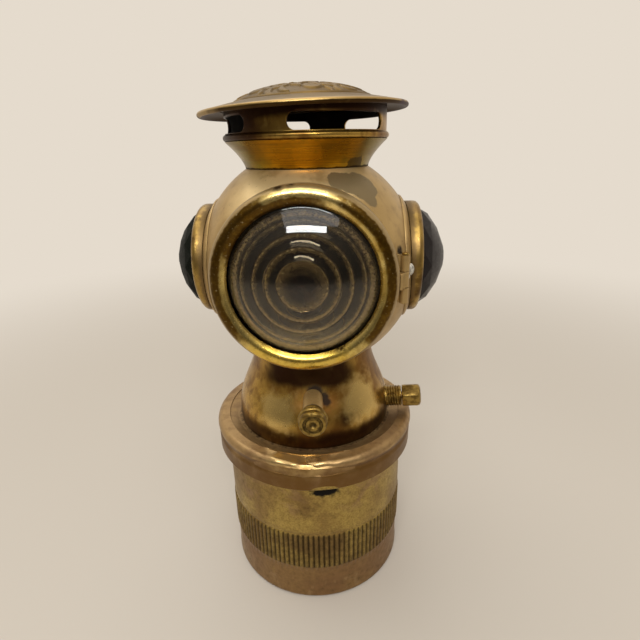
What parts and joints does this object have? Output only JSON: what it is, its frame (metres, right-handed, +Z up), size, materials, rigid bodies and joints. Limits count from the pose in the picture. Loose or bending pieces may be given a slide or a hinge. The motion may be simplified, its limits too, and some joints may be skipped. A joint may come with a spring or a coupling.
{
  "type": "carbide bicycle headlamp",
  "caption": "Carbide bicycle headlamp: a globe with a hinged lens door, side glasses and a vented chimney on a bell-shaped water tank with a screw-on carbide cup.",
  "frame": {"origin": "centre of the carbide cup's foot, on the surface that the lamp stands on", "axes": "+Z up along the lamp's axis; the lens door faces -Y; the door's hinge and the water valve are on the +X side"},
  "size_m": [0.0776, 0.082, 0.1522],
  "materials": {
    "aged_brass": "old lacquered sheet brass with brown patina",
    "bright_brass": "rubbed brass, brushed round",
    "tarnished_brass": "brass tarnished pinkish brown",
    "soft_solder": "dull grey solder",
    "clear_glass": "pressed clear glass",
    "green_glass": "cut glass, dark green",
    "red_glass": "cut glass, dark red",
    "black_rubber": "matt",
    "wool_felt": "matt felt",
    "brown_leather": "matt",
    "steatite": "matt, unglazed",
    "nickel_plate": "dull nickel plate",
    "spring_wire": "dark drawn wire"
  },
  "bodies": {
    "lamp": {"globe": "aged_brass", "tank_shell": "aged_brass", "tank_top": "aged_brass", "generator_top": "tarnished_brass", "gas_tube": "aged_brass", "drip_tube": "aged_brass", "filter_pan": "aged_brass", "filter_felt": "wool_felt", "burner_holder": "bright_brass", "burner_tip": "steatite", "reflector": "nickel_plate", "reflector_post": "aged_brass", "chimney_collar": "bright_brass", "vent_ring": "aged_brass", "cap": "tarnished_brass", "left_seat_ring": "aged_brass", "right_seat_ring": "aged_brass", "left_bezel": "tarnished_brass", "right_bezel": "tarnished_brass", "left_jewel": "green_glass", "right_jewel": "red_glass", "left_jewel_spring": "spring_wire", "right_jewel_spring": "spring_wire", "hinge_leaf_fixed": "tarnished_brass", "hinge_pin": "tarnished_brass", "hinge_rivet": "soft_solder", "filler_spout": "aged_brass", "valve_nipple": "aged_brass", "bracket_saddle": "aged_brass", "bracket_socket": "aged_brass", "bracket_rivets": "bright_brass"},
    "door": {"door_ring": "bright_brass", "lens": "clear_glass", "lens_spring": "spring_wire", "hinge_leaf_door": "bright_brass"},
    "seal": {"cup_seal": "black_rubber"},
    "cup": {"carbide_cup": "tarnished_brass"},
    "washer": {"filler_washer": "brown_leather"},
    "plug": {"filler_plug": "tarnished_brass"},
    "spindle": {"valve_spindle": "bright_brass"},
    "knob": {"valve_knob": "bright_brass"},
    "clamp": {"clamp_screw": "tarnished_brass"},
    "clamp_head": {"clamp_head": "bright_brass"}
  },
  "joints": [
    {"name": "door_swing", "type": "hinge", "parent": "lamp", "child": "door", "pos_m": [0.0256, -0.02106, 0.1044], "axis": [0, 0, 1], "range_deg": [0, 110]},
    {"name": "cup_lower", "type": "slide", "parent": "lamp", "child": "seal", "axis": [0, 0, -1], "range_m": [0, 0.006]},
    {"name": "cup_turn", "type": "hinge", "parent": "seal", "child": "cup", "pos_m": [0, 0, 0.0253], "axis": [0, 0, -1], "range_deg": [0, 720]},
    {"name": "plug_draw", "type": "slide", "parent": "lamp", "child": "washer", "axis": [0.061, -0.9981, 0], "range_m": [0, 0.004]},
    {"name": "plug_turn", "type": "hinge", "parent": "washer", "child": "plug", "pos_m": [0, 0, 0.0688], "axis": [0.061, -0.9981, 0], "range_deg": [0, 1800]},
    {"name": "valve_draw", "type": "slide", "parent": "lamp", "child": "spindle", "axis": [0.9891, -0.104, 0.1045], "range_m": [0, 0.0014]},
    {"name": "valve_turn", "type": "hinge", "parent": "spindle", "child": "knob", "pos_m": [0, 0, 0.057], "axis": [0.9891, -0.104, 0.1045], "range_deg": [0, 720]},
    {"name": "clamp_press", "type": "slide", "parent": "lamp", "child": "clamp", "axis": [0, -1, 0], "range_m": [0, 0.002]},
    {"name": "clamp_turn", "type": "hinge", "parent": "clamp", "child": "clamp_head", "pos_m": [0, 0.04, 0.1044], "axis": [0, -1, 0], "range_deg": [0, 900]}
  ],
  "couplings": [
    {"joint": "cup_lower", "follows": "cup_turn", "m_per_rad": 0.0004774},
    {"joint": "plug_turn", "follows": "plug_draw", "rad_per_m": 7853},
    {"joint": "valve_turn", "follows": "valve_draw", "rad_per_m": 8975},
    {"joint": "clamp_turn", "follows": "clamp_press", "rad_per_m": 7853}
  ]
}
